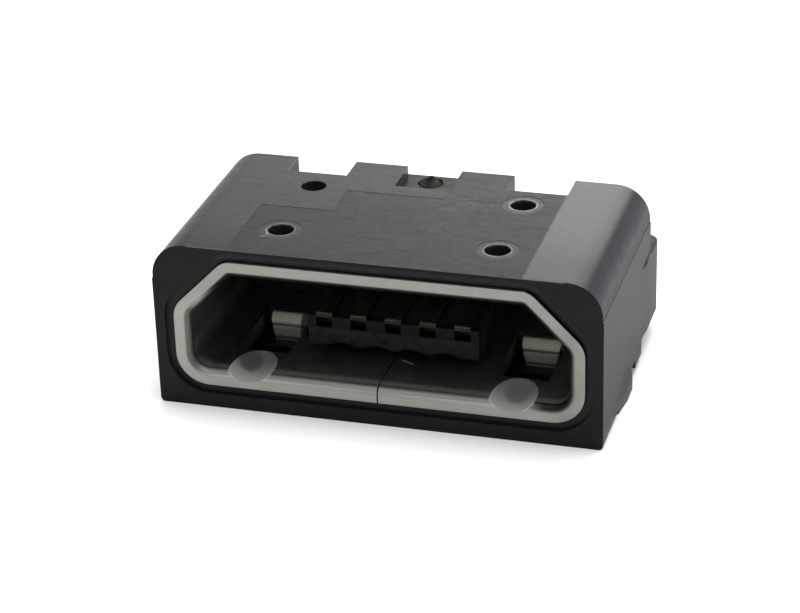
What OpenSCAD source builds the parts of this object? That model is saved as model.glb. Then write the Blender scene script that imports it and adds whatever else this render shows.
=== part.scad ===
// Loose charging port connector: a five-way socket in a black moulded body.
// Millimetres. X runs right across the mouth, the mouth faces -Y, Z is up.
// The origin is in the middle of the footprint, on the board plane.

/* [Housing] */
// Width over the sides
body_w = 8.25; // [8.2:0.05:8.5]
// Height from the board plane to the top
body_h = 3.20; // [3.15:0.05:3.5]
// Depth of the upper part, from the front face to the rear of the teeth
body_d = 4.27; // [4.25:0.05:4.6]
// Radius of the two long upper corners
top_r = 0.64; // [0.4:0.02:0.7]
// Radius of the two long lower corners
bottom_r = 0.10; // [0.05:0.01:0.15]
// Height of the parting line on the sides
parting_h = 2.50; // [2.3:0.05:2.5]
// How far the sides stand proud below the parting line
parting_step = 0.016; // [0.01:0.002:0.04]
// Depth of the low block behind the upper part
block_d = 0.86; // [0.8:0.02:1.1]
// Height of the top of the low block
block_h = 1.86; // [1.8:0.02:2.2]
// How far the sides of the low block stand out
block_out = 0.03; // [0.01:0.005:0.04]
// Length over which the sides of the low block slope out
block_ramp = 0.40; // [0.2:0.05:0.6]
// Plan radius of the rear corners of the low block
block_r = 0.35; // [0.2:0.05:0.5]
// Wall behind the insulator
rear_wall = 0.23; // [0.15:0.01:0.3]
// Plan radius of the rear left tooth
tooth_r = 0.20; // [0.1:0.05:0.3]

/* [Underside] */
// Gap between the rest on the board and the front of each leg
leg_gap = 0.05; // [0.02:0.01:0.1]
// Height of the notch in each side, beside the legs
cut_h = 0.30; // [0.2:0.02:0.36]
// How far each side notch reaches in
cut_w = 0.60; // [0.3:0.05:0.9]
// How far each side notch reaches back behind the legs
cut_back = 0.20; // [0.1:0.02:0.3]
// Height of the underside behind the rest on the board
mid_h = 0.14; // [0.1:0.02:0.18]
// Length of the raised rear underside below the upper part
mid_l = 0.77; // [0.72:0.01:0.9]
// Length of each side pad
pad_l = 1.00; // [0.9:0.05:1.1]
// Length of the slope at the front of each side pad
pad_ramp = 0.50; // [0.3:0.05:0.6]
// Height of the upright face of each side pad
pad_h = 0.30; // [0.24:0.02:0.4]
// Height of the slope above the upright face of each side pad
pad_rise = 0.20; // [0.1:0.02:0.3]
// How far each side pad stands out
pad_t = 0.06; // [0.04:0.01:0.1]
// Clearance on each side of a leg in the housing
leg_play = 0.02; // [0.01:0.005:0.04]
// Floor left under the pocket below each window
win_web = 0.10; // [0.06:0.01:0.15]

/* [Front] */
// Width of the shallow recess around the shell
rim_w = 0.17; // [0.1:0.01:0.2]
// Depth of the shallow recess around the shell
rim_d = 0.08; // [0.04:0.01:0.15]

/* [Top] */
// Diameter of the four pin holes
hole_dia = 0.48; // [0.3:0.02:0.6]
// Distance between the holes across the body
hole_pitch_x = 4.00; // [3.8:0.05:4.2]
// Distance from the front face to the front holes
hole_y = 1.05; // [0.9:0.01:1.2]
// Distance from the rear of the teeth to the rear holes
hole_back = 1.26; // [1.2:0.01:1.4]
// Diameter of the witness ring around a hole
ring_dia = 0.78; // [0.7:0.02:0.9]
// Depth of the witness ring
ring_d = 0.006; // [0.004:0.001:0.03]
// Depth of the lower step of the top
step_d = 0.008; // [0.006:0.001:0.04]
// Left edge of the lower step
step_left = 2.70; // [2.6:0.02:2.8]
// Right edge of the lower step
step_right = 2.68; // [2.6:0.02:2.8]
// Left edge of the lower step behind the front holes
step_mid = 1.33; // [1.2:0.02:1.5]
// Depth of the front part of the lower step
step_y1 = 2.04; // [1.9:0.02:2.2]
// Distance from the rear of the teeth to the middle part of the lower step
step_back = 1.30; // [1.2:0.02:1.4]

/* [Comb and gate] */
// Half the width of the centre recess
recess_x = 0.53; // [0.45:0.01:0.6]
// Length of the centre recess
recess_l = 0.94; // [0.8:0.02:1.0]
// Depth of the centre recess below the top
recess_d = 0.16; // [0.1:0.01:0.2]
// Length of each notch, behind the shell
comb_l = 0.67; // [0.6:0.01:0.7]
// Inner edge of each notch from the middle
notch_in = 1.54; // [1.4:0.02:1.7]
// Outer edge of each notch from the middle
notch_out = 2.70; // [2.6:0.02:2.9]
// Radius of the gate well
gate_r = 0.235; // [0.2:0.005:0.26]
// Distance from the rear of the teeth to the gate well
gate_back = 0.35; // [0.32:0.01:0.37]
// Depth of the gate well below the recess
gate_d = 0.26; // [0.15:0.01:0.28]
// Radius of the torn gate stub
stub_r = 0.20; // [0.15:0.01:0.21]
// Sideways place of the stub in the well
stub_x = 0.01; // [0:0.005:0.02]
// Height of the stub from the bottom of the well
stub_h = 0.30; // [0.2:0.01:0.34]

/* [Shell] */
// Outer width of the shell
shell_w = 7.56; // [7.5:0.02:7.6]
// Wall of the housing over the shell
top_wall = 0.253; // [0.24:0.001:0.27]
// Height of the underside of the shell over the board
shell_z = 0.447; // [0.43:0.001:0.46]
// Thickness of the sheet
sheet_t = 0.30; // [0.28:0.01:0.32]
// Sideways place of the shell in the housing
shell_x = 0.02; // [0:0.01:0.04]
// Width of the sloping upper corners
slope_w = 0.988; // [0.95:0.01:1.05]
// Outer radius where the slope meets the top
slope_r1 = 0.35; // [0.34:0.01:0.4]
// Outer radius where the slope meets the side
slope_r2 = 0.50; // [0.4:0.02:0.6]
// Outer radius of the lower corners
corner_r = 0.60; // [0.5:0.02:0.66]
// Rounding of the inner edge of the mouth
lip_r = 0.13; // [0.06:0.01:0.15]
// Width of the butt seam in the floor
seam_w = 0.025; // [0.015:0.005:0.05]

/* [Latch windows and legs] */
// Inner edge of each window from the middle of the shell
win_x = 1.95; // [1.9:0.01:2.05]
// Width of each window
win_w = 0.97; // [0.85:0.01:1]
// Distance from the mouth to the front of each window
win_front = 0.95; // [0.9:0.01:1.1]
// Distance from the rear of the shell to the front face of each leg
leg_in = 1.20; // [1.15:0.01:1.25]
// Relief cut on each side of a leg
leg_slot = 0.12; // [0.06:0.01:0.14]
// How far each side of a leg draws in toward its foot
leg_taper = 0.09; // [0.04:0.01:0.12]
// Height of the two score lines on each leg
score_w = 0.07; // [0.04:0.01:0.08]
// Depth of the score lines
score_t = 0.03; // [0.02:0.01:0.08]
// Height of the lower score line over the board
score_low = 0.24; // [0.2:0.01:0.28]
// Height of the upper score line over the board
score_high = 0.49; // [0.46:0.01:0.52]

/* [Lead-in scoops] */
// Width of each scoop
scoop_w = 0.84; // [0.7:0.02:0.9]
// Half the length of the whole scoop
scoop_l = 0.68; // [0.6:0.01:0.75]
// Distance from the mouth to the deepest point of each scoop
scoop_y = 0.27; // [0.2:0.01:0.3]
// Depth of each scoop in the sheet
scoop_d = 0.20; // [0.1:0.01:0.24]

/* [Insulator] */
// Width of the tongue
tongue_w = 3.20; // [3.1:0.02:3.4]
// Distance from the mouth to the tip of the tongue
tongue_y = 1.10; // [1.0:0.02:1.3]
// Height of the underside of the tongue over the board
tongue_low = 0.93; // [0.9:0.01:0.96]
// Height of the top of the tongue over the board
tongue_top = 1.50; // [1.46:0.01:1.54]
// Length of the flange inside the shell
flange_in = 0.15; // [0.1:0.01:0.3]
// Depth of the flange behind the shell
flange_back = 0.15; // [0.1:0.01:0.35]
// Width of the contact block
base_w = 4.60; // [4.2:0.05:4.8]
// Height of the contact block over the board
base_h = 1.70; // [1.65:0.01:1.74]
// Height of the pocket under each contact tip
pocket_h = 0.22; // [0.15:0.01:0.26]
// Length of the pocket under each contact tip
pocket_l = 0.20; // [0.1:0.01:0.3]
// Width of the hollows under the tongue
hollow_w = 0.50; // [0.4:0.01:0.54]
// Height of the hollows under the tongue
hollow_h = 0.07; // [0.04:0.01:0.1]

/* [Contacts] */
// Distance between contacts
pitch = 0.65; // [0.64:0.005:0.66]
// Width of a contact
contact_w = 0.31; // [0.28:0.01:0.34]
// Thickness of a contact
contact_t = 0.09; // [0.08:0.005:0.1]
// How far a contact stands above the tongue
contact_rise = 0.07; // [0.05:0.005:0.075]
// Chamfer on the tip of a contact
tip_c = 0.035; // [0.02:0.005:0.04]
// Outer radius of the bends of a contact
bend_r = 0.20; // [0.15:0.01:0.24]
// Distance from the teeth back to the upright of a contact
drop_back = 0.19; // [0.13:0.01:0.28]
// How far the tails reach out behind the low block
tail_out = 0.32; // [0.27:0.01:0.6]

/* [Hidden] */
$fn = 48;
// Over-cut for clean openings
e = 0.05;
half_w = body_w / 2;
half_up = half_w - parting_step;
half_low = half_w + block_out;
side_x = shell_w / 2;
shell_d = body_d - comb_l;
shell_top = body_h - top_wall;
win_rear = shell_d - leg_in;
leg_back = win_rear + sheet_t;
seat_d = win_rear - leg_gap;
leg_x = win_x + leg_slot;
leg_w = win_w - 2 * leg_slot;
pad_d = seat_d - pad_l;
mid_d = body_d - mid_l;
hole_y2 = body_d - hole_back;
step_y2 = body_d - step_back;
recess_y = body_d - recess_l;
gate_y = body_d - gate_back;
flange_y = shell_d - flange_in;
drop_y = body_d + drop_back;
tail_y = body_d + block_d + tail_out;
inner_low = shell_z + sheet_t;
inner_top = shell_top - sheet_t;
slope_c = side_x - slope_w + shell_top;
base_back = body_d + block_d - rear_wall;
flange_end = shell_d + flange_back;
recess_z = body_h - recess_d;
gate_z = recess_z - gate_d;
contact_top = tongue_top + contact_rise;
contact_low = contact_top - contact_t;
bend_in = bend_r - contact_t;
upright_back = drop_y + contact_t;
scoop_rx = (pow(scoop_w / 2, 2) + pow(scoop_d, 2)) / (2 * scoop_d);
scoop_ry = (pow(scoop_l, 2) + pow(scoop_d, 2)) / (2 * scoop_d);
hollow_r = (pow(hollow_w / 2, 2) + pow(hollow_h, 2)) / (2 * hollow_h);
shift_y = -tail_y / 2;

// One point of an arc
function spot(x, y, r, a) = [x + r * cos(a), y + r * sin(a)];

// Points of an arc
function arc(x, y, r, a, b, n = 12) = [for (i = [0:n]) spot(x, y, r, a + (b - a) * i / n)];

// Right half of the shell outline, set in by i, from the bottom up
function half_outline(i) = concat(
  arc(side_x - corner_r, shell_z + corner_r, corner_r - i, -90, 0),
  arc(side_x - slope_r2, slope_c - slope_r2 * sqrt(2) - side_x + slope_r2, slope_r2 - i, 0, 45),
  arc(slope_c - slope_r1 * sqrt(2) - shell_top + slope_r1, shell_top - slope_r1, slope_r1 - i, 45, 90)
);

// The same points mirrored, in the order that closes the outline
function flip(p) = [for (i = [len(p) - 1:-1:0]) [-p[i][0], p[i][1]]];

// Whole shell outline, set in by i
function outline(i) = concat(half_outline(i), flip(half_outline(i)));

// Right half of the section of the housing, from the bottom up
function half_section() = concat(
  arc(half_w - bottom_r, bottom_r, bottom_r, -90, 0),
  [[half_w, parting_h], [half_up, parting_h]],
  arc(half_up - top_r, body_h - top_r, top_r, 0, 90)
);

// Extrudes an outline in x and z along the depth
module along(y0, y1) {
  translate([0, y1, 0])
    rotate([90, 0, 0])
      linear_extrude(y1 - y0)
        children();
}

// Box from its two corners
module box(a, b) {
  translate(a)
    cube(b - a);
}

// Draws its children on the right and on the left
module both() {
  children();
  mirror([1, 0, 0])
    children();
}

// Housing: outer form with the low block behind
module housing_form() {
  along(0, body_d)
    polygon(concat(half_section(), flip(half_section())));
  translate([0, 0, shell_z])
    linear_extrude(block_h - shell_z)
      polygon(concat(
        [[-half_low, mid_d + block_ramp], [-half_w, mid_d]],
        [[half_w, mid_d], [half_low, mid_d + block_ramp]],
        arc(half_low - block_r, body_d + block_d - block_r, block_r, 0, 90),
        arc(-half_low + block_r, body_d + block_d - block_r, block_r, 90, 180)
      ));
  both()
    side_pad();
}

// Housing: pad low on the right side, sloped at its front and its top
module side_pad() {
  inside = half_w - 2 * bottom_r;
  top = pad_h + pad_rise;
  intersection() {
    linear_extrude(top)
      polygon([
        [inside, pad_d],
        [half_w, pad_d],
        [half_w + pad_t, pad_d + pad_ramp],
        [half_w + pad_t, seat_d],
        [inside, seat_d]
      ]);
    along(pad_d, seat_d)
      polygon([[inside, 0], [half_w + pad_t, 0], [half_w + pad_t, pad_h], [half_w, top], [inside, top]]);
  }
}

// Housing: steps and openings on the underside
module housing_underside() {
  box([-half_w - 1, seat_d, -1], [half_w + 1, body_d + e, mid_h]);
  box([-half_w - 1, mid_d, -1], [half_w + 1, body_d + e, shell_z]);
  both()
    box([half_w - cut_w, seat_d, -1], [half_w + 1, leg_back + cut_back, cut_h]);
  translate([shell_x, 0, 0])
    both() {
      box([win_x, win_front, win_web], [win_x + win_w, seat_d, shell_z + e]);
      box([win_x, seat_d - e, mid_h + win_web], [win_x + win_w, leg_back, shell_z + e]);
      box([leg_x - leg_play, seat_d, -1], [leg_x + leg_w + leg_play, leg_back, shell_z]);
    }
}

// Housing: steps, rings and holes on the top
module housing_top() {
  low = body_h - step_d;
  box([-step_left, -e, low], [step_right, step_y1, body_h + e]);
  box([-step_mid, step_y1 - e, low], [step_right, step_y2, body_h + e]);
  box([recess_x, step_y2 - e, low], [step_right, body_d + e, body_h + e]);
  for (x = [-1, 1])
    for (y = [hole_y, hole_y2])
      translate([x * hole_pitch_x / 2, y, shell_top]) {
        cylinder(d = hole_dia, h = top_wall + e);
        if (x > 0 || y == hole_y)
          translate([0, 0, low - ring_d - shell_top])
            cylinder(d = ring_dia, h = step_d + ring_d + e);
      }
}

// Housing: notches, centre recess and gate well
module housing_comb() {
  both()
    box([notch_in, shell_d, inner_top], [notch_out, body_d + e, body_h + e]);
  box([-recess_x, recess_y, recess_z], [recess_x, body_d + e, body_h + e]);
  translate([0, gate_y, gate_z])
    cylinder(r = gate_r, h = gate_d + e);
  translate([-half_up, body_d - tooth_r, block_h])
    difference() {
      translate([-e, 0, 0])
        cube([tooth_r + e, tooth_r + e, 2]);
      translate([tooth_r, 0, -e])
        cylinder(r = tooth_r, h = 3);
    }
}

// Housing: torn stub in the gate well
module stub() {
  translate([stub_x, gate_y, gate_z - e])
    intersection() {
      cylinder(r = stub_r, h = stub_h + e, $fn = 24);
      rotate([14, 6, 0])
        translate([-0.5, -0.5, -1])
          cube([1, 1, 1.24]);
    }
}

// One overmoulded body
module housing() {
  color([0.11, 0.11, 0.12])
    translate([0, shift_y, 0]) {
      difference() {
        housing_form();
        housing_underside();
        housing_top();
        housing_comb();
        translate([shell_x, 0, 0]) {
          along(-e, shell_d)
            polygon(outline(0));
          along(-e, rim_d)
            polygon(outline(-rim_w));
          along(shell_d - e, flange_end)
            polygon(outline(sheet_t));
          box([-base_w / 2, shell_d, -1], [base_w / 2, base_back, base_h]);
        }
      }
      stub();
    }
}

// Shell: the rounding of the inner edge of the mouth, in four facets
module lip() {
  for (turn = [0:22.5:67.5])
    hull()
      for (a = [turn, turn + 22.5])
        along(lip_r * (1 - cos(a)) - (a == 0 ? e : 0), lip_r * (1 - cos(a)) + 0.001)
          polygon(outline(sheet_t - lip_r + lip_r * sin(a)));
}

// Shell: one lead-in scoop, round both ways
module scoop() {
  intersection() {
    translate([win_x + win_w / 2, scoop_y, inner_low - scoop_d + scoop_ry])
      rotate([0, 90, 0])
        rotate_extrude($fn = 96)
          translate([scoop_ry - scoop_rx, 0])
            circle(scoop_rx);
    box([win_x - 0.2, -1, shell_z], [win_x + win_w + 0.2, 2, inner_low + 0.05]);
  }
}

// Shell: one leg, bent down at the rear edge of its window
module leg() {
  translate([leg_x, 0, 0])
    intersection() {
      rotate([90, 0, 90])
        linear_extrude(leg_w)
          difference() {
            polygon(concat(
              [[leg_back, 0], [leg_back, shell_z], [leg_back + e, shell_z], [leg_back + e, inner_low]],
              arc(leg_back, shell_z, sheet_t, 90, 180),
              [[win_rear, 0]]
            ));
            translate([win_rear - e, score_low])
              square([score_t + e, score_w]);
            translate([win_rear - e, score_high])
              square([score_t + e, score_w]);
          }
      along(0, leg_back + 2 * e)
        polygon([
          [leg_taper, -e],
          [leg_w - leg_taper, -e],
          [leg_w - leg_taper, score_low],
          [leg_w, inner_low - 0.1],
          [leg_w, inner_low + e],
          [0, inner_low + e],
          [0, inner_low - 0.1],
          [leg_taper, score_low]
        ]);
    }
}

// One folded sheet, closed by a butt seam in the floor
module shell() {
  color([0.62, 0.62, 0.6])
    translate([shell_x, shift_y, 0]) {
      difference() {
        along(0, shell_d)
          polygon(outline(0));
        along(-e, shell_d + e)
          polygon(outline(sheet_t));
        lip();
        box([-seam_w / 2, -e, shell_z - e], [seam_w / 2, shell_d + e, inner_low + e]);
        both()
          box([win_x, win_front, shell_z - e], [win_x + win_w, leg_back, inner_low + e]);
        both()
          scoop();
      }
      both()
        leg();
    }
}

// Side view of a contact, tip at the left
module contact_side() {
  polygon(concat(
    [[tongue_y, contact_low], [tongue_y, contact_top - tip_c], [tongue_y + tip_c, contact_top]],
    arc(upright_back - bend_r, contact_top - bend_r, bend_r, 90, 0),
    arc(upright_back + bend_in, bend_r, bend_in, 180, 270),
    [[tail_y, contact_t], [tail_y, 0]],
    arc(upright_back + bend_in, bend_r, bend_r, 270, 180),
    arc(upright_back - bend_r, contact_top - bend_r, bend_in, 0, 90)
  ));
}

// One stamped contact, from the tip on the tongue to the tail on the board
module contact(i) {
  color([0.72, 0.6, 0.34])
    translate([shell_x + (i - 3) * pitch - contact_w / 2, shift_y, 0])
      rotate([90, 0, 90])
        linear_extrude(contact_w)
          contact_side();
}

module contact_1() {
  contact(1);
}

module contact_2() {
  contact(2);
}

module contact_3() {
  contact(3);
}

module contact_4() {
  contact(4);
}

module contact_5() {
  contact(5);
}

// One moulding: tongue, flange and contact block
module insulator() {
  color([0.08, 0.09, 0.09])
    difference() {
      translate([shell_x, shift_y, 0])
        difference() {
          union() {
            box([-tongue_w / 2, tongue_y, tongue_low], [tongue_w / 2, flange_y + e, tongue_top]);
            along(flange_y, flange_end)
              polygon(outline(sheet_t));
            box([-base_w / 2, shell_d, shell_z], [base_w / 2, base_back, base_h]);
          }
          for (i = [-2:2])
            translate([i * pitch - contact_w / 2, tongue_y - e, tongue_top - pocket_h])
              cube([contact_w, pocket_l + e, pocket_h + e]);
          for (i = [-1.5:1:1.5])
            translate([i * pitch, 0, tongue_low + hollow_h - hollow_r])
              along(tongue_y - e, flange_y)
                circle(hollow_r, $fn = 96);
        }
      for (i = [1:5])
        contact(i);
    }
}

housing();
shell();
insulator();
contact_1();
contact_2();
contact_3();
contact_4();
contact_5();
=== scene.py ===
"""Dresses the charging port connector: materials, the torn gate, camera, floor and light."""

import math
from functools import reduce

import bmesh
import bpy
from mathutils import Matrix, Vector, noise


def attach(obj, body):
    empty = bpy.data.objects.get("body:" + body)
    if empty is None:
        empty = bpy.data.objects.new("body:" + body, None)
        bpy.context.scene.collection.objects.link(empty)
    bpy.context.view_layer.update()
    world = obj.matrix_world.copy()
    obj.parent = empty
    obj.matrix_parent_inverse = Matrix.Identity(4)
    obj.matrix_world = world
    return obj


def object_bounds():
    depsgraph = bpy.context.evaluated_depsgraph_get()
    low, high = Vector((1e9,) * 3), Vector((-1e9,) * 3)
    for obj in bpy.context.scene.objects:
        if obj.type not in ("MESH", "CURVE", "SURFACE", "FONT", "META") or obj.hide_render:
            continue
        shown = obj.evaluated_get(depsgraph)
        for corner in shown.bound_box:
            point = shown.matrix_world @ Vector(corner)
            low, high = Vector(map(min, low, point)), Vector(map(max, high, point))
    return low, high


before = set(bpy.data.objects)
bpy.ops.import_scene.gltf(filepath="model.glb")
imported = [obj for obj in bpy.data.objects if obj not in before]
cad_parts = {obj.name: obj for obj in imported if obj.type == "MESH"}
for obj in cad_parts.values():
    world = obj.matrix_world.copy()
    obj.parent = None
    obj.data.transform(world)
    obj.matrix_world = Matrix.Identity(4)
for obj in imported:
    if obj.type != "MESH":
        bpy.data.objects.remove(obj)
cad_low, cad_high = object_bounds()

MM = 0.001

# Sizes and places on the object are in millimetres, as in the CAD source. Heights (z) are counted from
# the board plane and depths (y) from the front face. What lies near the rear or the top is worked out
# from the depth or the top of the body.
FRONT_Y = round(cad_low[1] / MM, 3)
BODY_TOP = round(cad_high[2] / MM, 3)

# The body: the width and depth of its main form, the step at its parting line, and its round upper edges
BODY_W, BODY_D = 8.25, 4.27
HALF_W = BODY_W / 2
PARTING_H, PARTING_STEP, TOP_R = 2.50, 0.016, 0.64
TOP_FLAT_X = HALF_W - PARTING_STEP - TOP_R
# The low block: its height, and the depth behind which it stands out in full
BLOCK_H, BLOCK_Y = 1.86, 3.90
# The lower step of the top, which has three parts, and the depths of the step and of the rings in it
STEP_LEFT, STEP_RIGHT, STEP_MID = -2.70, 2.68, -1.33
STEP_Y1, STEP_Y2 = 2.04, BODY_D - 1.30
STEP_D, RING_D = 0.008, 0.006
# The pin holes: x, y and how pale the ring around each one is
HOLE_X, HOLE_Y1, HOLE_Y2 = 2.0, 1.05, BODY_D - 1.26
HOLE_R, RING_R = 0.24, 0.39
PIN_HOLES = [(-HOLE_X, HOLE_Y1, 0.40), (HOLE_X, HOLE_Y1, 0.62), (-HOLE_X, HOLE_Y2, 0), (HOLE_X, HOLE_Y2, 1)]
# The rear recess with the gate well
RECESS_X, RECESS_Y, RECESS_Z = 0.53, BODY_D - 0.94, BODY_TOP - 0.16
GATE_X, GATE_Y, GATE_R, GATE_Z = 0.0, BODY_D - 0.35, 0.235, RECESS_Z - 0.26
# The torn plastic slopes like the CAD's stub under it: up to the rear and down to the right
TEAR_X, TEAR_RISE, TEAR_TILT, TEAR_DROP = 0.01, 0.251, 0.105, 0.011

# The shell: its middle plane, half its width, its outer bottom and top, and the thickness of its sheet
SHELL_X, SHELL_HALF_W, SHELL_LOW, SHELL_TOP, SHEET_T = 0.02, 3.78, 0.447, BODY_TOP - 0.253, 0.30
SHELL_D = BODY_D - 0.67
FLOOR_Z = SHELL_LOW + SHEET_T
# Distance from the middle plane plus height, which is the same all along a sloping upper corner
SHELL_SLOPE = SHELL_HALF_W - 0.988 + SHELL_TOP
# The rounding of the mouth's inner edge, and the width of the shallow recess around the shell
LIP_R, RIM_W = 0.13, 0.17
# Windows and legs, as distances from the middle plane, the slot beside a leg, and the legs' front plane
WIN_IN, WIN_W, WIN_FRONT = 1.95, 0.97, 0.95
WIN_OUT = WIN_IN + WIN_W
LEG_SLOT = 0.12
LEG_IN, LEG_OUT, LEG_Y = WIN_IN + LEG_SLOT, WIN_OUT - LEG_SLOT, SHELL_D - 1.20
# The inner part of the left leg, which is painted dark as shade
LEG_DARK_W = 0.14
# The lower edges of the two score lines on each leg, and their width
SCORES, SCORE_W = (0.24, 0.49), 0.07
# The scoops in the floor, and the heart of each one, painted darker as shade
SCOOP_X, SCOOP_Y = (WIN_IN + WIN_OUT) / 2, 0.27
SCOOP_HALF_W, SCOOP_HALF_L, SCOOP_D = 0.42, 0.68, 0.20
HEART_HALF_W, HEART_HALF_L = 0.28, 0.32

# The tongue, the pockets for the contact tips, and the cavity
TONGUE_Y, TONGUE_LOW, TONGUE_TOP = 1.10, 0.93, 1.50
POCKET_L, POCKET_Z = 0.20, TONGUE_TOP - 0.22
CONTACTS = 5
CONTACT_TOP = TONGUE_TOP + 0.07
CONTACT_LOW = CONTACT_TOP - 0.09
CAVITY_D = SHELL_D - 0.15

# The camera that was solved from the photograph: degrees, pixels and millimetres
PHOTO_W = 800
AZIMUTH, ELEVATION, ROLL = 16.6013, 26.4519, 1.7764
FOCAL_PX = 2557.48
SENSOR = 36.0
# The front of the object as the camera sees it: right, down and ahead. It was solved for a body 8.2 mm wide.
SOLVED_W = 8.2
OBJECT_IN_CAMERA = Vector((-0.40840, 2.11289, 45.59986)) * (BODY_W / SOLVED_W)


class Tree:
    """The node tree of a material or a world, with short calls for the nodes used here."""

    def __init__(self, owner):
        owner.use_nodes = True
        self.tree = owner.node_tree
        self.tree.nodes.clear()

    def add(self, kind, **settings):
        node = self.tree.nodes.new(kind)
        for key, value in settings.items():
            setattr(node, key, value)
        return node

    def link(self, node, socket, value):
        """Links a socket, or sets it where the value is a plain number, vector or colour."""
        target = node.inputs[socket]
        if isinstance(value, bpy.types.NodeSocket):
            self.tree.links.new(value, target)
        elif hasattr(target.default_value, "__len__") and not hasattr(value, "__len__"):
            target.default_value = [value] * len(target.default_value)
        else:
            target.default_value = value

    def vector(self, operation, a, b=None, scale=None):
        """Output of a vector math node."""
        node = self.add("ShaderNodeVectorMath", operation=operation)
        self.link(node, 0, a)
        if b is not None:
            self.link(node, 1, b)
        if scale is not None:
            self.link(node, "Scale", scale)
        return node.outputs["Value" if operation in ("DOT_PRODUCT", "LENGTH", "DISTANCE") else "Vector"]

    def math(self, operation, a, b=0.0, clamp=False):
        """Output of a math node."""
        node = self.add("ShaderNodeMath", operation=operation, use_clamp=clamp)
        self.link(node, 0, a)
        self.link(node, 1, b)
        return node.outputs[0]

    def times(self, *values):
        return reduce(lambda a, b: self.math("MULTIPLY", a, b), values)

    def any_of(self, *masks):
        return reduce(lambda a, b: self.math("MAXIMUM", a, b), masks)

    def without(self, mask):
        return self.math("SUBTRACT", 1.0, mask)

    def ease(self, value, low, high, start=0.0, end=1.0):
        """Smooth step of value from start at low to end at high."""
        node = self.add("ShaderNodeMapRange", interpolation_type="SMOOTHSTEP")
        for socket, number in enumerate((value, low, high, start, end)):
            self.link(node, socket, number)
        return node.outputs[0]

    def rise(self, value, low, high):
        """0 below low and 1 above high."""
        return self.ease(value, low, high)

    def fall(self, value, low, high):
        """1 below low and 0 above high."""
        return self.ease(value, low, high, 1, 0)

    def band(self, value, low, high, soft=0.03):
        """1 between low and high, 0 outside, with soft edges."""
        over_low = self.rise(value, low - soft, low + soft)
        under_high = self.fall(value, high - soft, high + soft)
        return self.times(over_low, under_high)

    def mix(self, factor, a, b):
        """A colour that goes from a to b. The node's colours are its sockets 6 and 7."""
        node = self.add("ShaderNodeMix", data_type="RGBA")
        self.link(node, 0, factor)
        self.link(node, 6, a)
        self.link(node, 7, b)
        return node.outputs[2]

    def blend(self, factor, a, b):
        """A number that goes from a to b."""
        node = self.add("ShaderNodeMix", data_type="FLOAT")
        self.link(node, 0, factor)
        self.link(node, 2, a)
        self.link(node, 3, b)
        return node.outputs[0]


class Shader(Tree):
    """A material. Its x, y and z are the place on the object in millimetres, y from the front face."""

    def __init__(self, name):
        self.material = bpy.data.materials.new(name)
        super().__init__(self.material)
        self.bsdf = self.add("ShaderNodeBsdfPrincipled")
        out = self.add("ShaderNodeOutputMaterial")
        self.tree.links.new(self.bsdf.outputs[0], out.inputs[0])
        coords = self.add("ShaderNodeTexCoord").outputs["Object"]
        self.place = self.vector("ADD", self.vector("SCALE", coords, scale=1 / MM), (0, -FRONT_Y, 0))
        split = self.add("ShaderNodeSeparateXYZ")
        self.link(split, 0, self.place)
        self.x, self.y, self.z = split.outputs

    def noise(self, scale, detail=3.0, roughness=0.55, stretch=(1, 1, 1), distortion=0.0):
        """Noise about 0.5, scale in cells to the millimetre."""
        node = self.add("ShaderNodeTexNoise")
        self.link(node, "Vector", self.vector("MULTIPLY", self.place, stretch))
        self.link(node, "Scale", scale)
        self.link(node, "Detail", detail)
        self.link(node, "Roughness", roughness)
        self.link(node, "Distortion", distortion)
        return node.outputs["Fac"]

    def wisps(self, scale, width, **settings):
        """Thin wandering lines."""
        off_middle = self.math("ABSOLUTE", self.math("SUBTRACT", self.noise(scale, **settings), 0.5))
        return self.fall(off_middle, 0.0, width)

    def distance(self, x, y, x_scale=1.0, y_scale=1.0):
        """Distance in plan from a point, in millimetres times the scales."""
        shifted = self.vector("ADD", self.place, (-x, -y, 0))
        return self.vector("LENGTH", self.vector("MULTIPLY", shifted, (x_scale, y_scale, 0)))

    def patch(self, x, y, half_x, half_y):
        """1 in the middle of an ellipse in plan, falling to 0 at its rim."""
        return self.fall(self.distance(x, y, 1 / half_x, 1 / half_y), 0.3, 1.0)

    def area(self, x0, x1, y0, y1, soft=0.012):
        """1 in a rectangle in plan."""
        return self.times(self.band(self.x, x0, x1, soft), self.band(self.y, y0, y1, soft))

    def stroke(self, start, end, width):
        """1 on a straight scratch in plan."""
        run = Vector((end[0] - start[0], end[1] - start[1], 0))
        from_start = self.vector("ADD", self.place, (-start[0], -start[1], 0))
        flat = self.vector("MULTIPLY", from_start, (1, 1, 0))
        along = self.vector("DOT_PRODUCT", flat, run)
        share = self.math("MULTIPLY", along, 1 / run.length_squared, clamp=True)
        nearest = self.vector("SCALE", run, scale=share)
        return self.fall(self.vector("DISTANCE", flat, nearest), width * 0.4, width)

    def rounded(self, radius):
        """Normal with the edges rounded to a radius in millimetres."""
        node = self.add("ShaderNodeBevel", samples=6)
        self.link(node, "Radius", self.math("MULTIPLY", radius, MM))
        return node.outputs[0]

    def edges(self, normal):
        """1 along rounded edges, 0 on flat faces."""
        flat = self.add("ShaderNodeNewGeometry").outputs["Normal"]
        return self.rise(self.without(self.vector("DOT_PRODUCT", normal, flat)), 0.02, 0.25)

    def bump(self, height, depth, normal=None):
        """Bump with height 0 to 1 and depth in millimetres."""
        node = self.add("ShaderNodeBump")
        self.link(node, "Strength", 1.0)
        self.link(node, "Distance", depth * MM)
        self.link(node, "Height", height)
        if normal is not None:
            self.link(node, "Normal", normal)
        return node.outputs[0]

    def finish(self, **inputs):
        """Sets the shader's inputs, whose names have underscores for spaces, and gives the material."""
        for name, value in inputs.items():
            self.link(self.bsdf, name.replace("_", " "), value)
        return self.material


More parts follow.
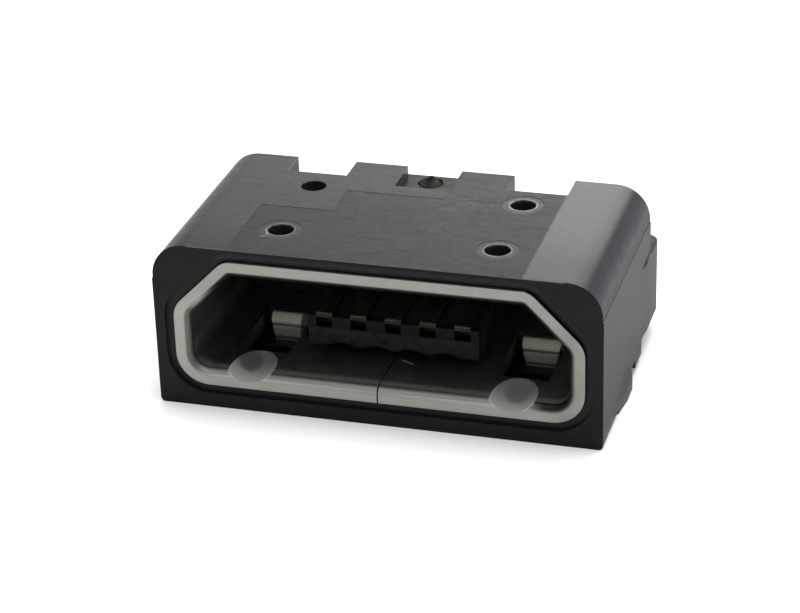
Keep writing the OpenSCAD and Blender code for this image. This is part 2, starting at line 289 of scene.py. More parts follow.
def linear(level):
    """Linear brightness of a 0 to 255 value of a screen."""
    if level <= 10:
        return level / 255 / 12.92
    return ((level / 255 + 0.055) / 1.055) ** 2.4


def rgb(red, green, blue):
    """Linear colour from the 0 to 255 values of a screen."""
    return (linear(red), linear(green), linear(blue), 1)


def pin_hole_mask(s):
    """1 in the pin holes and just around them."""
    return s.any_of(*(s.fall(s.distance(x, y), HOLE_R + 0.02, HOLE_R + 0.06) for x, y, _ in PIN_HOLES))


def shell_reach(s):
    """Distance to either side of the shell's middle plane."""
    return s.math("ABSOLUTE", s.math("SUBTRACT", s.x, SHELL_X))


def rim_recess_mask(s):
    """1 in the shallow recess around the shell, whose outline is the shell's with the rim added all round."""
    margin, soft = 0.015, 0.01
    reach = shell_reach(s)
    rim = RIM_W + margin
    side = SHELL_HALF_W + rim
    slope = SHELL_SLOPE + rim * math.sqrt(2)
    return s.times(
        s.band(s.y, 0.02, 0.2, soft),
        s.fall(reach, side - soft, side + soft),
        s.fall(s.math("ADD", reach, s.z), slope - soft, slope + soft),
        s.band(s.z, SHELL_LOW - rim, SHELL_TOP + rim, soft),
    )


def low_step_mask(s):
    """1 on the lower step of the top, seen in plan."""
    before, behind = -1, BODY_D + 1
    return s.any_of(
        s.area(STEP_LEFT, STEP_RIGHT, before, STEP_Y1),
        s.area(STEP_MID, STEP_RIGHT, before, STEP_Y2),
        s.area(RECESS_X, STEP_RIGHT, before, behind),
    )


def step_wall_mask(s):
    """1 on the low walls of the step and of the rings, and 0 on the flat floors between them."""
    flat_part = s.fall(s.math("ABSOLUTE", s.x), TOP_FLAT_X - 0.07, TOP_FLAT_X - 0.02)
    step_floor = BODY_TOP - STEP_D
    walls = s.band(s.z, step_floor - RING_D + 0.001, BODY_TOP - 0.0012, 0.0005)
    floors = s.band(s.z, step_floor - 0.0015, step_floor + 0.0015, 0.0005)
    return s.times(walls, s.without(floors), flat_part)


def ledge_mask(s):
    """1 on the narrow ledges of the right side: at the parting line and on the low block."""
    parting = s.band(s.z, PARTING_H - 0.003, PARTING_H + 0.003, 0.002)
    block = s.times(
        s.band(s.z, BLOCK_H - 0.003, BLOCK_H + 0.003, 0.002),
        s.rise(s.y, BLOCK_Y - 0.05, BLOCK_Y + 0.05),
    )
    on_side = s.rise(s.x, HALF_W - 0.04, HALF_W - 0.03)
    return s.times(s.any_of(parting, block), on_side, s.fall(s.y, BODY_D - 0.02, BODY_D))


def recess_wall_mask(s):
    """1 on the left wall of the rear recess."""
    return s.times(
        s.band(s.x, -RECESS_X - 0.02, 0.02 - RECESS_X, 0.005),
        s.rise(s.y, RECESS_Y, RECESS_Y + 0.02),
        s.band(s.z, RECESS_Z + 0.01, BODY_TOP - 0.01, 0.005),
    )


def around_holes(s, low, high):
    """The part between two distances from a pin hole's middle, at each hole as pale as its ring."""
    return s.any_of(*(s.times(s.band(s.distance(x, y), low, high, 0.02), pale) for x, y, pale in PIN_HOLES))


def ring_masks(s, top, mottle):
    """The pale ring around each pin hole, and the paler rim of the hole itself, which is burr flecks and a
    painted highlight on the edge.
    """
    ring = s.times(top, around_holes(s, HOLE_R, RING_R - 0.02), s.blend(mottle, 0.35, 0.6))
    speckle = s.ease(s.noise(9, detail=2), 0.35, 0.60, 0.25, 0.9)
    # Burr flecks and a painted highlight on the edge of each hole.
    rim = s.times(top, around_holes(s, HOLE_R - 0.03, HOLE_R + 0.03), speckle)
    return ring, rim


def flow_mask(s, top):
    """Flow marks of the moulding: in front of the gate, in the middle, and fainter on the right."""
    marked = s.any_of(
        s.patch(0.9, 2.9, 0.9, 0.75),
        s.patch(0.7, 1.65, 0.45, 0.3),
        s.times(s.patch(2.9, 2.2, 0.9, 1.6), 0.5),
    )
    return s.times(top, marked, s.wisps(3.4, 0.022, detail=3, distortion=1.2))


def crumb_mask(s, top):
    """Two crumbs of plastic beside the front left pin hole."""
    long_crumb = s.stroke((-2.27, 1.02), (-2.17, 0.80), 0.028)
    short_crumb = s.stroke((-2.27, 0.69), (-2.20, 0.73), 0.026)
    return s.times(top, s.any_of(long_crumb, short_crumb))


def top_tones_and_painted_sheen(s, base, top, mottle, drag):
    """The top: paler above the step and toward the rear as painted sheen, darker toward the front as painted
    shade.
    """
    low_step = low_step_mask(s)
    # Painted sheen: the part of the top above the step is paler.
    base = s.mix(s.times(top, s.without(low_step)), base, rgb(36, 41, 40))
    base = s.mix(s.times(top, mottle, 0.25), base, rgb(48, 53, 52))
    # Painted sheen: paler toward the rear.
    base = s.mix(s.times(top, s.rise(s.y, 1.8, 4.0), 0.2), base, rgb(60, 64, 62))
    # Painted shade: darker toward the front, most at the front edge.
    base = s.mix(s.times(top, s.fall(s.y, 0.2, 1.4), 0.4), base, rgb(8, 10, 10))
    base = s.mix(s.times(top, s.ease(s.y, 0.05, 0.5, 0.4, 0)), base, rgb(4, 5, 5))
    return s.mix(s.times(top, low_step, drag, 0.7), base, rgb(6, 8, 8))


def right_painted_sheen_and_light(s, base, side, right, mottle):
    """The right side, the round shoulder above it, and the pale right part of the top, all in painted light:
    a lighter tone on the side, a bluish painted reflection on the shoulder and a painted sheen on the right
    part of the top.
    """
    shoulder = s.times(
        s.rise(s.x, 3.60, 3.80),
        s.rise(s.z, PARTING_H + 0.10, PARTING_H + 0.25),
        s.rise(s.y, 0.01, 0.02),
    )
    # Painted light: a lighter, warmer tone on the right side.
    base = s.mix(s.times(side, 0.5), base, rgb(23, 22, 17))
    # Painted reflection: a bluish band on the round shoulder.
    base = s.mix(s.times(shoulder, 0.8), base, rgb(36, 38, 43))
    # Painted sheen: the right part of the top, paler toward the rear.
    pale = s.mix(s.rise(s.y, 0.3, 2.6), rgb(64, 67, 63), rgb(82, 85, 81))
    return s.mix(s.times(right, s.blend(mottle, 0.8, 1.0)), base, pale)


def mark_tones_and_rim_highlight(s, base, top, ring, rim):
    """Marks of the moulding: specks, flow marks, rings around the pin holes and two crumbs, and the hole rims
    with a painted highlight.
    """
    specks = s.rise(s.noise(15, detail=1), 0.72, 0.78)
    base = s.mix(s.times(top, specks, 0.35), base, rgb(100, 104, 100))
    base = s.mix(s.times(flow_mask(s, top), 0.4), base, rgb(96, 100, 98))
    base = s.mix(ring, base, rgb(92, 95, 93))
    # Painted highlight, with burr flecks: the pale rim of each pin hole.
    base = s.mix(rim, base, rgb(138, 141, 138))
    return s.mix(s.times(crumb_mask(s, top), 0.8), base, rgb(112, 112, 108))


def relief_painted_light_and_wear(s, base, top, edge):
    """The pin holes, the recesses and the low walls, paler as painted light, and the edges of the top, paler
    from wear and a painted highlight.
    """
    # Painted light: the walls inside the pin holes are paler than the plastic.
    hole_painted_light = s.times(pin_hole_mask(s), s.fall(s.z, BODY_TOP - 0.06, BODY_TOP - 0.03))
    base = s.mix(hole_painted_light, base, rgb(36, 39, 37))
    # Painted light: the recess around the shell is paler, most at its top.
    recess = s.mix(s.rise(s.z, 2.90, 2.98), rgb(26, 28, 28), rgb(36, 38, 38))
    base = s.mix(rim_recess_mask(s), base, recess)
    step_wall = step_wall_mask(s)
    # Painted light: the low step walls and the side's ledges are paler, so that they show no shade line.
    base = s.mix(s.any_of(step_wall, s.times(ledge_mask(s), 0.4)), base, rgb(140, 143, 140))
    facing_front = s.any_of(*(s.band(s.y, y - 0.01, y + 0.01, 0.005) for y in (STEP_Y1, STEP_Y2)))
    # Painted light: palest on the step walls that face the front.
    base = s.mix(s.times(step_wall, facing_front), base, rgb(215, 218, 215))
    # Painted light: the lit left wall of the rear recess.
    base = s.mix(recess_wall_mask(s), base, rgb(66, 67, 63))
    # Wear and painted highlight: paler rounded edges of the top, weaker at the front.
    wear_and_highlight = s.times(s.ease(s.noise(6), 0.40, 0.62, 0.5, 0.95), s.ease(s.y, 0.02, 0.06, 0.1, 1))
    return s.mix(s.times(edge, top, wear_and_highlight), base, rgb(96, 99, 97))


def housing_plastic():
    """Black moulded plastic, cloudy and scuffed, with sharper edges on the top and low on the right side."""
    s = Shader("housing_plastic")
    top = s.rise(s.z, BODY_TOP - 0.06, BODY_TOP - 0.04)
    low_side = s.times(
        s.rise(s.x, HALF_W - 0.04, HALF_W - 0.03),
        s.fall(s.z, PARTING_H + 0.10, PARTING_H + 0.15),
    )
    side = s.times(s.rise(s.x, HALF_W - 0.05, HALF_W - 0.02), s.rise(s.z, 0.1, 0.3))
    right = s.times(
        s.rise(s.x, STEP_RIGHT - 0.02, STEP_RIGHT + 0.05),
        s.rise(s.z, BODY_TOP - 0.12, BODY_TOP - 0.05),
        s.rise(s.y, 0.01, 0.02),
    )
    normal = s.rounded(s.blend(s.any_of(top, low_side), 0.035, 0.006))

    cloud = s.rise(s.noise(1.4, detail=4), 0.35, 0.68)
    mottle = s.rise(s.noise(5, detail=4, roughness=0.6), 0.38, 0.66)
    drag = s.rise(s.noise(5, detail=3, stretch=(0.22, 1.3, 1)), 0.52, 0.70)
    ring, rim = ring_masks(s, top, mottle)

    base = s.mix(cloud, rgb(12, 15, 15), rgb(18, 21, 21))
    base = top_tones_and_painted_sheen(s, base, top, mottle, drag)
    base = right_painted_sheen_and_light(s, base, side, right, mottle)
    base = mark_tones_and_rim_highlight(s, base, top, ring, rim)
    base = relief_painted_light_and_wear(s, base, top, s.edges(normal))

    rough = s.blend(s.any_of(mottle, drag), 0.34, 0.42)
    rough = s.blend(right, rough, s.blend(mottle, 0.27, 0.36))
    rough = s.blend(ring, rough, 0.5)
    rough = s.blend(side, rough, 0.46)
    grain = s.math("ADD", s.times(s.noise(26, detail=2), 0.45), s.times(s.noise(6, detail=3), 0.7))
    grain = s.times(grain, s.ease(s.x, 3.5, 3.7, 1, 0.40))
    return s.finish(
        Base_Color=base,
        Roughness=rough,
        Specular_IOR_Level=0.12,
        Normal=s.bump(grain, 0.004, normal),
    )


def torn_plastic():
    """Olive torn plastic, paler on the right and darkest at the peak."""
    s = Shader("torn_plastic")
    streak = s.rise(s.noise(5, detail=3, stretch=(1, 0.5, 0.2)), 0.4, 0.6)
    base = s.mix(streak, rgb(10, 12, 8), rgb(36, 37, 29))
    base = s.mix(s.rise(s.x, 0.03, 0.12), base, s.mix(streak, rgb(34, 33, 26), rgb(72, 70, 60)))
    base = s.mix(s.patch(-0.02, GATE_Y + 0.10, 0.07, 0.12), base, rgb(12, 11, 7))
    return s.finish(
        Base_Color=base,
        Roughness=s.blend(streak, 0.55, 0.7),
        Specular_IOR_Level=0.10,
        Normal=s.bump(streak, 0.01),
    )


def scoop_mask(s, across):
    """1 on the bottom of a lead-in scoop, which the CAD source cuts as part of a torus."""
    tube = (SCOOP_HALF_W ** 2 + SCOOP_D ** 2) / (2 * SCOOP_D)
    ring = (SCOOP_HALF_L ** 2 + SCOOP_D ** 2) / (2 * SCOOP_D)
    back = s.math("SUBTRACT", s.y, SCOOP_Y)
    up = s.math("SUBTRACT", s.z, FLOOR_Z - SCOOP_D + ring)
    from_axis = s.math("SQRT", s.math("ADD", s.times(back, back), s.times(up, up)))
    tube_half = s.math("SQRT", s.math("SUBTRACT", tube ** 2, s.times(across, across)))
    from_tube = s.math("SUBTRACT", s.math("SUBTRACT", from_axis, ring - tube), tube_half)
    return s.times(
        s.fall(s.math("ABSOLUTE", from_tube), 0.005, 0.014),
        s.fall(s.z, FLOOR_Z - 0.006, FLOOR_Z),
        s.rise(s.y, 0.002, 0.005),
    )


def scoop_painted_light_and_shade(s, across):
    """Pale steel that darkens deeper in the mouth as painted light, with a bluish heart of painted shade,
    which is darker and lies further out and back on the left.
    """
    on_right = s.rise(s.x, -0.1, 0.1)
    along = s.times(s.math("SUBTRACT", s.y, s.blend(on_right, 0.68, 0.60)), 1 / HEART_HALF_L)
    sideways = s.times(s.math("SUBTRACT", across, s.blend(on_right, 0.17, 0.0)), 1 / HEART_HALF_W)
    # Painted shade: the darker bluish heart of each scoop.
    heart = s.fall(s.math("ADD", s.times(sideways, sideways), s.times(along, along)), 0.25, 1.0)
    # Painted light: paler at the front of the scoop, darker deeper in the mouth.
    painted_falloff = s.mix(s.rise(s.y, 0.10, 0.85), rgb(206, 206, 203), rgb(146, 147, 147))
    blue = s.mix(on_right, rgb(94, 98, 103), rgb(124, 128, 133))
    return s.mix(s.times(heart, s.blend(on_right, 0.85, 0.7)), painted_falloff, blue)


def inside_painted_shade(s, shelf, left_side, cloud):
    """The inner walls of the shell, with painted shade on the dim floor and the dark left wall, and a dull
    strip behind the lip, where the painted shade is lighter.
    """
    # Painted shade: the floor is darker than the walls above it.
    low = s.mix(cloud, rgb(116, 117, 112), rgb(132, 132, 127))
    high = s.mix(cloud, rgb(196, 197, 190), rgb(214, 214, 208))
    base = s.mix(s.rise(s.z, 0.8, 1.3), low, high)
    # Painted shade: the left wall is darker.
    base = s.mix(s.times(left_side, s.rise(s.z, 1.0, 1.4), 0.8), base, rgb(92, 92, 88))
    # Painted light: the strip just behind the lip, which the light reaches, is less dark than the floor.
    return s.mix(shelf, base, rgb(150, 149, 144))


def lip_painted_light_and_shade(s, ceiling, left_side):
    """The rounded inner edge of the mouth, in painted light and shade: palest at the bottom, darkest on the
    right and under the top.
    """
    # Painted light and shade: each part of the rounding goes from lit at the front to shaded further in.
    low_lip = s.mix(s.rise(s.y, 0.012, 0.07), rgb(176, 175, 168), rgb(106, 106, 102))
    left_lip = s.mix(s.rise(s.y, 0.0, 0.014), rgb(108, 107, 102), rgb(100, 100, 95))
    right_deep_shade = s.mix(s.rise(s.z, 1.5, 1.9), rgb(44, 44, 42), rgb(24, 24, 23))
    right_lip = s.mix(s.rise(s.y, 0.0, 0.03), rgb(100, 100, 95), right_deep_shade)
    top_lip = s.mix(s.rise(s.y, 0.0, 0.02), rgb(66, 65, 62), rgb(28, 27, 26))
    around = s.mix(s.rise(s.x, 2.6, 3.1), s.mix(left_side, low_lip, left_lip), right_lip)
    return s.mix(ceiling, around, top_lip)


def mouth_mottle_and_painted_shade(s, ceiling, cloud):
    """The flat front edge of the sheet, a little darker at the top and on the right as painted shade."""
    # Painted shade: darker at the top and on the right.
    flat = s.mix(ceiling, rgb(142, 141, 135), rgb(135, 134, 128))
    flat = s.mix(s.rise(s.x, 2.9, 3.5), flat, rgb(126, 126, 120))
    return s.mix(s.times(cloud, 0.25), flat, rgb(156, 155, 149))


def cut_mask(s, reach):
    """1 on the cut edges of the sheet in the windows."""
    return s.times(
        s.band(reach, WIN_IN - 0.03, WIN_OUT + 0.03, 0.01),
        s.fall(s.z, FLOOR_Z - 0.03, FLOOR_Z - 0.005),
        s.band(s.y, WIN_FRONT - 0.03, LEG_Y, 0.01),
    )


def leg_mask(s, reach):
    """1 on the two legs."""
    return s.times(
        s.band(reach, LEG_IN - 0.01, LEG_OUT + 0.01, 0.005),
        s.rise(s.y, LEG_Y - 0.03, LEG_Y - 0.02),
        s.fall(s.z, FLOOR_Z - 0.04, FLOOR_Z - 0.01),
    )


def leg_painted_light_and_shade(s, base, leg, cloud):
    """Legs in painted light and shade: bright faces, with dark score lines, dim feet and a dark inner side on
    the left leg as painted shade.
    """
    # Painted light: the bright faces of the legs.
    base = s.mix(leg, base, s.mix(cloud, rgb(236, 234, 216), rgb(246, 244, 230)))
    # Painted shade: the dim feet.
    foot = s.times(leg, s.fall(s.z, SCORES[0] - 0.02, SCORES[0] + 0.02))
    base = s.mix(foot, base, rgb(92, 89, 78))
    # Painted shade: the dark inner side of the left leg.
    painted_shade_side = s.times(leg, s.band(s.x, SHELL_X - LEG_IN - LEG_DARK_W, 0, 0.03))
    base = s.mix(s.times(painted_shade_side, 0.9), base, rgb(40, 38, 34))
    # Painted shade: the dark score lines.
    score = s.times(leg, s.any_of(*(s.band(s.z, low, low + SCORE_W, 0.015) for low in SCORES)))
    return s.mix(s.times(score, s.ease(s.z, 0.25, 0.3, 0.8, 0.5)), base, rgb(62, 58, 50))


def near_scoop_mask(s, across):
    """1 on and just around the scoops, whose edges are sharper than the others."""
    back = SCOOP_Y + SCOOP_HALF_L
    return s.times(
        s.band(across, -SCOOP_HALF_W - 0.08, SCOOP_HALF_W + 0.08, 0.03),
        s.fall(s.y, back, back + 0.05),
        s.fall(s.z, FLOOR_Z + 0.05, FLOOR_Z + 0.10),
    )


def shell_steel():
    """Stainless steel sheet, dull inside the mouth, with scoops in its floor; the mouth, the inside, the legs
    and the scoops carry painted light and shade.
    """
    s = Shader("shell_steel")
    reach = shell_reach(s)
    across = s.math("SUBTRACT", reach, SCOOP_X)
    normal = s.rounded(s.blend(near_scoop_mask(s, across), 0.02, 0.004))
    mouth = s.fall(s.y, 0.003, 0.008)
    lip = s.fall(s.y, LIP_R, LIP_R + 0.04)
    inside = s.rise(s.y, LIP_R - 0.01, LIP_R + 0.02)
    shelf = s.times(inside, s.fall(s.y, 0.27, 0.34), s.fall(s.z, 0.80, 0.95))
    ceiling = s.rise(s.z, 1.9, 2.5)
    left_side = s.fall(s.x, -3.5, -3.2)
    scoop = scoop_mask(s, across)
    cut = cut_mask(s, reach)
    leg = leg_mask(s, reach)
    glint = s.times(s.stroke((0.16, 1.15), (0.40, 1.03), 0.024), s.fall(s.z, 0.9, 1.0))
    fine = s.noise(20, detail=3, stretch=(1, 0.15, 1))
    cloud = s.rise(s.noise(2.2, detail=4), 0.3, 0.7)

    base = inside_painted_shade(s, shelf, left_side, cloud)
    base = s.mix(lip, base, lip_painted_light_and_shade(s, ceiling, left_side))
    base = s.mix(mouth, base, mouth_mottle_and_painted_shade(s, ceiling, cloud))
    base = s.mix(cut, base, rgb(130, 128, 118))
    base = leg_painted_light_and_shade(s, base, leg, cloud)
    base = s.mix(scoop, base, scoop_painted_light_and_shade(s, across))
    # Painted shade: the shell's top is dark where it shows at the bottom of the pin holes.
    on_top = s.rise(s.z, SHELL_TOP - 0.017, SHELL_TOP - 0.007)
    base = s.mix(on_top, base, s.mix(pin_hole_mask(s), rgb(140, 140, 136), rgb(66, 66, 63)))
    base = s.mix(glint, base, rgb(232, 231, 224))

    film = s.times(inside, s.ease(s.z, 0.8, 1.3, 0.09, 0.28), s.ease(s.x, -3.3, -1.5, 0.3, 1.8))
    rough = s.blend(s.rise(fine, 0.3, 0.7), 0.30, 0.42)
    rough = s.blend(s.any_of(lip, shelf), rough, 0.50)
    rough = s.blend(mouth, rough, 0.42)
    rough = s.blend(s.any_of(leg, cut), rough, 0.55)
    rough = s.blend(scoop, rough, 0.50)
    return s.finish(
        Base_Color=base,
        Metallic=s.blend(s.any_of(scoop, leg, glint, film), 1.0, 0.35),
        Roughness=rough,
        Normal=s.bump(fine, 0.003, normal),
    )


def insulator_plastic():
    """Black plastic, with a painted reflection as a pale band low on the front of the tongue, painted shade
    on the pockets over it, and painted highlights on the front edges.
    """
    s = Shader("insulator_plastic")
    normal = s.rounded(0.02)
    edge = s.edges(normal)
    patches = s.rise(s.noise(4.5, detail=4, distortion=0.6), 0.36, 0.62)
    front = s.fall(s.y, TONGUE_Y + 0.02, TONGUE_Y + 0.06)
    pocket_y = TONGUE_Y + POCKET_L
    deep = s.band(s.y, pocket_y, CAVITY_D + 0.05, 0.05)
    band = s.times(front, s.band(s.z, TONGUE_LOW + 0.02, POCKET_Z - 0.01, 0.04))
    painted_shade_over_band = s.times(front, s.rise(s.z, POCKET_Z - 0.03, POCKET_Z + 0.03), s.without(edge))
    pocket_back = s.times(
        s.band(s.y, pocket_y - 0.03, pocket_y + 0.03, 0.01),
        s.band(s.z, POCKET_Z - 0.01, CONTACT_LOW, 0.01),
    )

    base = s.mix(patches, rgb(8, 11, 11), rgb(13, 17, 17))
    base = s.mix(deep, base, s.mix(patches, rgb(30, 32, 29), rgb(38, 40, 37)))
    # Painted reflection: the pale band low on the front of the tongue.
    base = s.mix(s.times(band, s.blend(patches, 0.35, 1.0)), base, rgb(32, 39, 37))
    # Painted highlight: the paler front edges.
    base = s.mix(s.times(edge, front), base, rgb(74, 82, 78))
    # Painted shade: the front over the band, around the pockets.
    base = s.mix(painted_shade_over_band, base, rgb(6, 9, 9))
    base = s.mix(pocket_back, base, rgb(14, 18, 17))
    return s.finish(
        Base_Color=base,
        Roughness=s.blend(patches, 0.38, 0.5),
        Specular_IOR_Level=0.12,
        Normal=s.bump(s.noise(26), 0.004, normal),
    )


def contact_gold():
    """Worn gold, with a painted highlight as a pale upper edge on each tip and painted shade on the face
    under it.
    """
    s = Shader("contact_gold")
    normal = s.rounded(0.012)
    wear = s.rise(s.noise(5, stretch=(1, 0.3, 1)), 0.35, 0.65)
    tip = s.times(
        s.fall(s.y, TONGUE_Y + 0.02, TONGUE_Y + 0.045),
        s.rise(s.z, CONTACT_TOP - 0.035, CONTACT_TOP - 0.02),
    )
    under = s.times(s.fall(s.y, TONGUE_Y + 0.03, TONGUE_Y + 0.06), s.without(tip))
    base = s.mix(wear, rgb(62, 58, 42), rgb(84, 78, 56))
    # Painted shade: the face under each tip.
    base = s.mix(under, base, rgb(44, 43, 37))
    # Painted highlight: the pale upper edge of each tip.
    base = s.mix(tip, base, rgb(94, 93, 87))
    return s.finish(
        Base_Color=base,
        Metallic=1.0,
        Roughness=s.blend(s.noise(12, stretch=(1, 0.2, 1)), 0.35, 0.5),
        Normal=s.bump(s.noise(20, stretch=(1, 0.1, 1)), 0.002, normal),
    )


def smooth_group(limit_degrees, weld):
    """Node group that joins the imported mesh's split corners and shades it smooth below an edge angle."""
    group = bpy.data.node_groups.new("smooth_by_angle", "GeometryNodeTree")
    group.interface.new_socket("Geometry", in_out="INPUT", socket_type="NodeSocketGeometry")
    group.interface.new_socket("Geometry", in_out="OUTPUT", socket_type="NodeSocketGeometry")
    source = group.nodes.new("NodeGroupInput")
    target = group.nodes.new("NodeGroupOutput")
    bare = group.nodes.new("GeometryNodeRemoveAttribute")
    bare.inputs["Name"].default_value = "custom_normal"
    merge = group.nodes.new("GeometryNodeMergeByDistance")
    merge.inputs["Distance"].default_value = weld * MM
    faces = group.nodes.new("GeometryNodeSetShadeSmooth")
    edges = group.nodes.new("GeometryNodeSetShadeSmooth")
    edges.domain = "EDGE"
    angle = group.nodes.new("GeometryNodeInputMeshEdgeAngle")
    below = group.nodes.new("FunctionNodeCompare")
    below.operation = "LESS_THAN"
    below.inputs[1].default_value = math.radians(limit_degrees)
    group.links.new(source.outputs[0], bare.inputs[0])
    group.links.new(bare.outputs[0], merge.inputs[0])
    group.links.new(merge.outputs[0], faces.inputs[0])
    group.links.new(faces.outputs[0], edges.inputs[0])
    group.links.new(angle.outputs[0], below.inputs[0])
    group.links.new(below.outputs[0], edges.inputs["Shade Smooth"])
    group.links.new(edges.outputs[0], target.inputs[0])
    return group


def dress(node, material, group):
    """Gives a CAD node its material and smooth shading."""
    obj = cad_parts[node]
    obj.data.materials.clear()
    obj.data.materials.append(material)
    obj.modifiers.new("smooth", "NODES").node_group = group
    weighted = obj.modifiers.new("weighted", "WEIGHTED_NORMAL")
    weighted.mode = "FACE_AREA"
    weighted.weight = 90
    weighted.keep_sharp = True


def dress_all():
    """Dresses every CAD node. The contacts share one material."""
    group = smooth_group(limit_degrees=25, weld=0.0002)
    dress("housing", housing_plastic(), group)
    dress("shell", shell_steel(), group)
    dress("insulator", insulator_plastic(), group)
    gold = contact_gold()
    for i in range(1, CONTACTS + 1):
        dress(f"contact_{i}", gold, group)


def add_piece(name, bm, material):
    """Turns a bmesh in millimetres, y from the front face, into a piece of the object."""
    bmesh.ops.recalc_face_normals(bm, faces=bm.faces)
    bmesh.ops.scale(bm, vec=(MM, MM, MM), verts=bm.verts)
    bmesh.ops.translate(bm, vec=(0, FRONT_Y * MM, 0), verts=bm.verts)
    mesh = bpy.data.meshes.new(name)
    bm.to_mesh(mesh)
    bm.free()
    for face in mesh.polygons:
        face.use_smooth = True
    mesh.materials.append(material)
    obj = bpy.data.objects.new(name, mesh)
    bpy.context.scene.collection.objects.link(obj)
    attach(obj, "root")


def direction(angle):
    """Unit vector in plan."""
    return Vector((math.cos(angle), math.sin(angle)))


def join_rings(bm, rings):
    """Joins closed rings of equally many vertices with four-sided faces."""
    for first, second in zip(rings, rings[1:]):
        for i in range(len(first)):
            j = (i + 1) % len(first)
            bm.faces.new((first[i], second[i], second[j], first[j]))


def tear_height(x, y):
    """Height of the torn plastic over the recess, x and y from the middle of the gate well."""
    highest, lift = 0.04, 0.015
    slope = min(highest, TEAR_RISE * y - TEAR_TILT * (x - TEAR_X) - TEAR_DROP)
    lumps = 0.025 * noise.noise(Vector((11 * x, 11 * y, 3.0)))
    strands = 0.035 * abs(noise.noise(Vector((26 * x, 9 * y, 7.0))))
    peak = 0.045 * math.exp(-((x + 0.02) ** 2 + (y - 0.13) ** 2) / 0.003)
    return slope + lift + max(0.0, lumps) + strands + peak


def torn_gate(material):
    """The torn plastic that fills the gate well, with ragged strands and a peak at its rear."""
    sides, levels = 56, 14
    gap, raggedness, rim_fall = 0.016, 0.014, 0.05
    bm = bmesh.new()
    middle = bm.verts.new((GATE_X, GATE_Y, RECESS_Z + tear_height(0, 0)))
    rings = []
    for k in range(1, levels + 1):
        ring = []
        for i in range(sides):
            out = direction(2 * math.pi * i / sides)
            ragged = raggedness * noise.noise(Vector((3 * out.x, 3 * out.y, 5.0)))
            x, y = (GATE_R - gap + ragged) * k / levels * out
            z = RECESS_Z + tear_height(x, y) - rim_fall * (k / levels) ** 8
            ring.append(bm.verts.new((GATE_X + x, GATE_Y + y, z)))
        rings.append(ring)
    foot = [bm.verts.new((v.co.x, v.co.y, GATE_Z - 0.005)) for v in rings[-1]]
    rings.append(foot)
    for i in range(sides):
        bm.faces.new((middle, rings[0][i], rings[0][(i + 1) % sides]))
    join_rings(bm, rings)
    bm.faces.new(foot[::-1])
    add_piece("torn_gate", bm, material)


def gate_burr(material):
    """The thin lip of plastic that the tear left standing along the rear right rim of the gate well."""
    first_angle, sweep, steps = -10, 100, 24
    low, swelling = 0.005, 0.045
    bm = bmesh.new()
    sections = []
    for k in range(steps + 1):
        share = k / steps
        ragged = 0.5 + 0.5 * noise.noise(Vector((9 * share, 0.3, 0.7)))
        height = low + swelling * math.sin(math.pi * share) * ragged
        out = direction(math.radians(first_angle + sweep * share))
        section = []
        for offset, z in (
            (0.035, RECESS_Z - 0.004),
            (0.008, RECESS_Z + height),
            (-0.006, RECESS_Z + height - 0.006),
            (-0.001, RECESS_Z - 0.03),
        ):
            x, y = (GATE_R + offset) * out
            section.append(bm.verts.new((GATE_X + x, GATE_Y + y, z)))
        sections.append(section)
    join_rings(bm, sections)
    bm.faces.new(sections[0])
    bm.faces.new(sections[-1][::-1])
    add_piece("gate_burr", bm, material)


def camera():
    """The camera at the place and angle that were solved from the photograph."""
    azimuth, elevation, roll = (math.radians(a) for a in (AZIMUTH, ELEVATION, ROLL))
    ahead = Vector((
        -math.sin(azimuth) * math.cos(elevation),
        math.cos(azimuth) * math.cos(elevation),
        -math.sin(elevation),
    ))
    level = Vector((math.cos(azimuth), math.sin(azimuth), 0))
    below = ahead.cross(level)
    right = math.cos(roll) * level + math.sin(roll) * below
    down = -math.sin(roll) * level + math.cos(roll) * below
    turn = Matrix((right, -down, -ahead)).transposed()
    to_camera = Matrix((right, down, ahead))
    place = -(to_camera.transposed() @ OBJECT_IN_CAMERA) + Vector((0, FRONT_Y, 0))
    data = bpy.data.cameras.new("camera")
    data.sensor_width = SENSOR
    data.lens = FOCAL_PX * SENSOR / PHOTO_W
    data.clip_start = 1 * MM
    data.clip_end = 10
    obj = bpy.data.objects.new("camera", data)
    obj.matrix_world = Matrix.Translation(place * MM) @ turn.to_4x4()
    bpy.context.scene.collection.objects.link(obj)
    bpy.context.scene.camera = obj


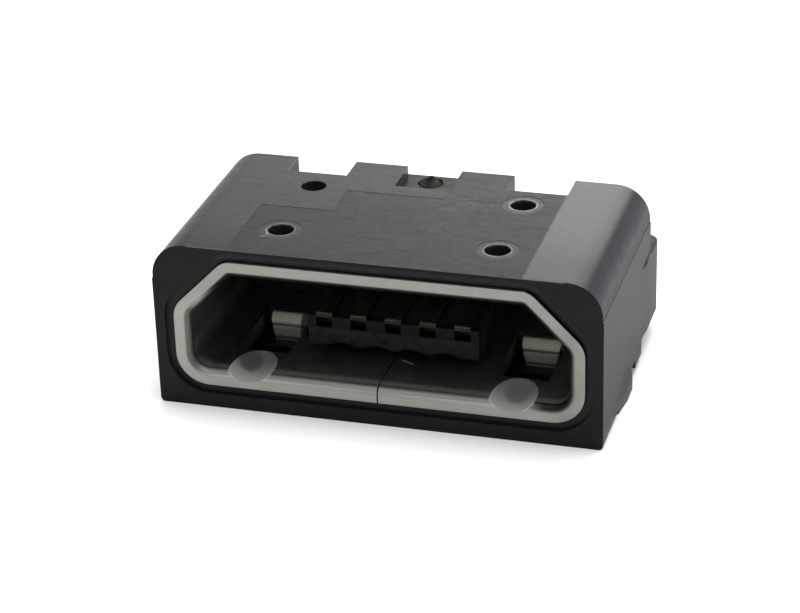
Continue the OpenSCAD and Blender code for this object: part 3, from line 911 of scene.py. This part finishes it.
def floor():
    """A pale floor 3 m wide, with a painted shadow under the body so that no bright ground shows through the
    windows.
    """
    mesh = bpy.data.meshes.new("floor")
    half = 1.5
    corners = [(-half, -half, 0), (half, -half, 0), (half, half, 0), (-half, half, 0)]
    mesh.from_pydata(corners, [], [(0, 1, 2, 3)])
    obj = bpy.data.objects.new("floor", mesh)
    bpy.context.scene.collection.objects.link(obj)
    s = Shader("floor_pale")
    side, front, rear = 3.2, 0.8, 3.8
    # Painted shadow: the floor is darker under the body.
    painted_shadow_under_body = s.area(-side, side, front, rear, soft=0.2)
    base = s.mix(painted_shadow_under_body, (0.90, 0.90, 0.90, 1), rgb(70, 68, 60))
    mesh.materials.append(s.finish(Base_Color=base, Roughness=0.9, Specular_IOR_Level=0.1))


def area_light(name, place, aim, size, power):
    """A flat lamp turned toward a point, in metres and watts."""
    data = bpy.data.lights.new(name, "AREA")
    data.shape = "RECTANGLE"
    data.size, data.size_y = size
    data.energy = power
    obj = bpy.data.objects.new(name, data)
    obj.location = place
    obj.rotation_mode = "QUATERNION"
    obj.rotation_quaternion = (Vector(aim) - Vector(place)).to_track_quat("-Z", "Y")
    bpy.context.scene.collection.objects.link(obj)


def light():
    """A bright room behind and above, a soft box low behind the body, and a dim room in front."""
    dim, bright, box_strength = 0.34, 1.35, 2.8
    box_edge, box_core = math.radians(20), math.radians(4)
    world = bpy.data.worlds.new("studio")
    bpy.context.scene.world = world
    t = Tree(world)
    ahead = t.add("ShaderNodeTexCoord").outputs["Generated"]
    bright_side = Vector((0.15, 0.85, 0.50)).normalized()
    soft_box = Vector((-0.08, 0.94, 0.33)).normalized()
    room = t.ease(t.vector("DOT_PRODUCT", ahead, bright_side), -0.55, 0.75, dim, bright)
    toward_box = t.vector("DOT_PRODUCT", ahead, soft_box)
    glow = t.ease(toward_box, math.cos(box_edge), math.cos(box_core), 0, box_strength)
    back = t.add("ShaderNodeBackground")
    t.link(back, "Strength", t.math("ADD", room, glow))
    out = t.add("ShaderNodeOutputWorld")
    t.tree.links.new(back.outputs[0], out.inputs[0])
    area_light("key", place=(0.03, 0.03, 0.30), aim=(0, 0, 0), size=(0.24, 0.24), power=1.0)


bpy.context.scene.view_settings.view_transform = "Standard"
camera()
floor()
light()
dress_all()
torn = torn_plastic()
torn_gate(torn)
gate_burr(torn)
